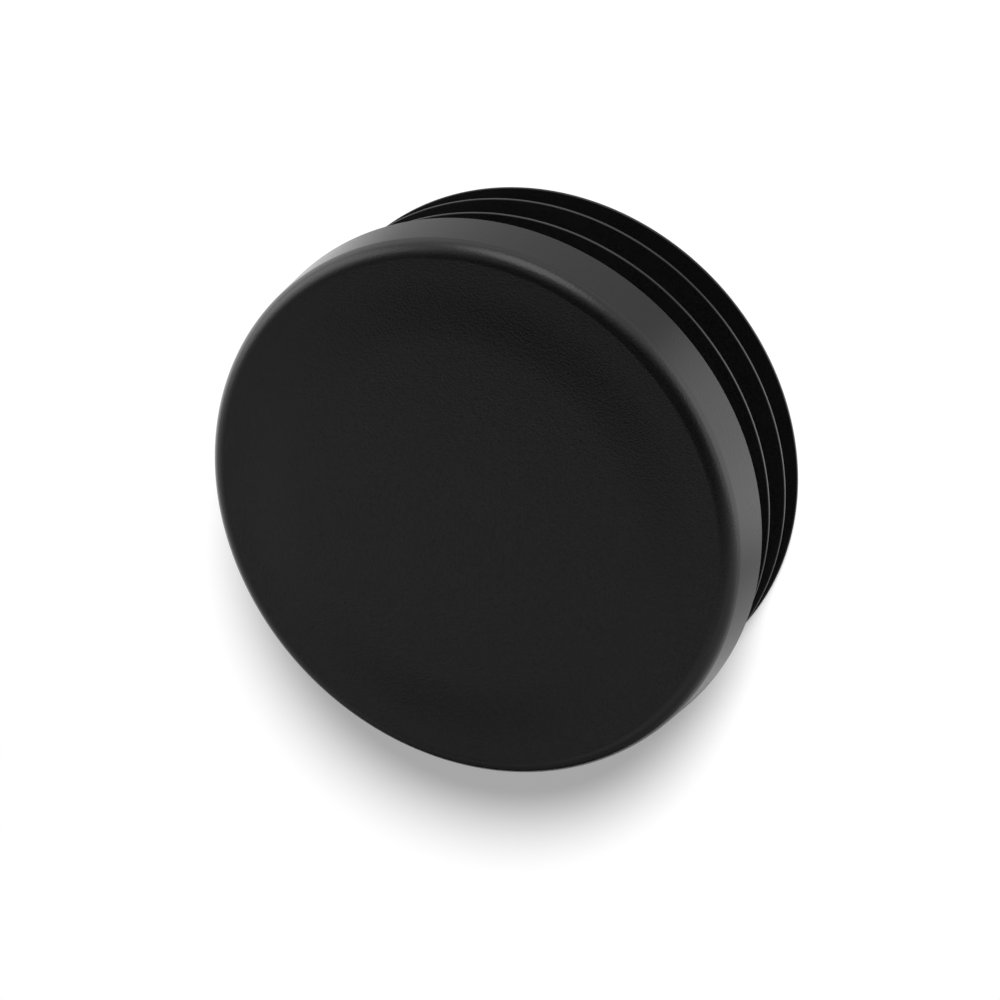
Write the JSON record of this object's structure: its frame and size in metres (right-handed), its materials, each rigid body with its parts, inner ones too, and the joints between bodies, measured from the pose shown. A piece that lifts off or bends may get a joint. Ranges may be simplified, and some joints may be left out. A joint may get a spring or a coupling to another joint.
{
  "type": "round plug",
  "caption": "Round moulded plug that closes the end of a tube, with a flat matt head, a rounded edge and a hollow shank ringed by thin gripping ribs.",
  "frame": {"origin": "on the plug's axis, at the open end of the shank that it stands on", "axes": "+Z along the axis, from the shank's open end to the face of the head; the plug is round, so X and Y are free"},
  "size_m": [0.06, 0.06, 0.022],
  "materials": {
    "black_polyethylene": "moulded, with a fine spark-eroded grain on the head and smoother ribs"
  },
  "bodies": {
    "root": {"round_plug": "black_polyethylene"}
  },
  "joints": []
}
